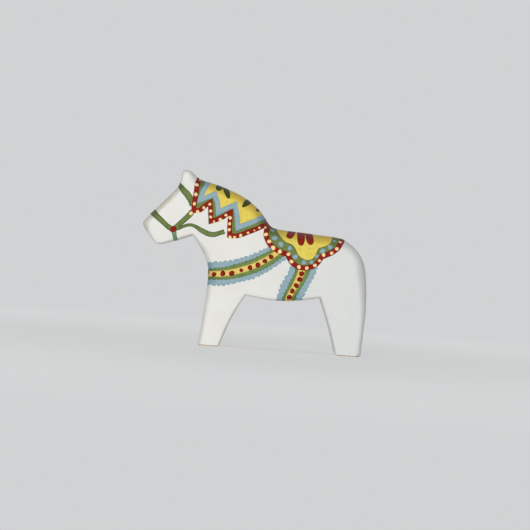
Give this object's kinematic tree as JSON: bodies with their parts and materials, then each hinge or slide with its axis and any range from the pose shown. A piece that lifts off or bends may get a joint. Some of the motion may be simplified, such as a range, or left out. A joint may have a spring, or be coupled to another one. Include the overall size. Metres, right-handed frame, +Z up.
{
  "type": "dala horse",
  "caption": "Carved wooden horse figurine painted white, with a folk pattern of bridle, mane, saddle, breast strap and girth; stands as an ornament.",
  "frame": {"origin": "on the floor, under the middle of the horse's box", "axes": "+Z up, -X towards the horse's nose, +Y towards its right side"},
  "size_m": [0.0992, 0.0262, 0.075],
  "materials": {
    "pine": "bare sawn pine",
    "white_paint": "brushed satin ground paint",
    "green_paint": "brushed satin paint",
    "dark_green_paint": "brushed satin paint",
    "blue_paint": "brushed satin paint",
    "yellow_paint": "brushed satin paint",
    "red_paint": "brushed satin paint"
  },
  "bodies": {
    "root": {"pine_core": "pine", "white_ground_coat": "white_paint", "noseband": "green_paint", "chin_strap": "green_paint", "browband": "green_paint", "cheek_strap_left": "green_paint", "cheek_strap_right": "green_paint", "rein_left": "green_paint", "rein_right": "green_paint", "bridle_rosette_left": "red_paint", "bridle_rosette_right": "red_paint", "mane_red_border": "red_paint", "mane_green_zigzag": "green_paint", "mane_blue_zigzag": "blue_paint", "mane_field": "yellow_paint", "mane_leaf_front_left": "dark_green_paint", "mane_leaf_front_right": "dark_green_paint", "mane_leaf_rear_left": "dark_green_paint", "mane_leaf_rear_right": "dark_green_paint", "saddle_red_border": "red_paint", "saddle_green_band": "green_paint", "saddle_field": "yellow_paint", "saddle_petal_front_left": "red_paint", "saddle_petal_front_right": "red_paint", "saddle_petal_middle_left": "red_paint", "saddle_petal_middle_right": "red_paint", "saddle_petal_rear_left": "red_paint", "saddle_petal_rear_right": "red_paint", "breast_strap": "yellow_paint", "breast_strap_upper_edging": "green_paint", "breast_strap_lower_edging": "green_paint", "breast_strap_upper_scallops": "blue_paint", "breast_strap_lower_scallops": "blue_paint", "girth": "yellow_paint", "girth_front_edging": "green_paint", "girth_rear_edging": "green_paint", "girth_front_scallops": "blue_paint", "girth_rear_scallops": "blue_paint"}
  },
  "joints": []
}
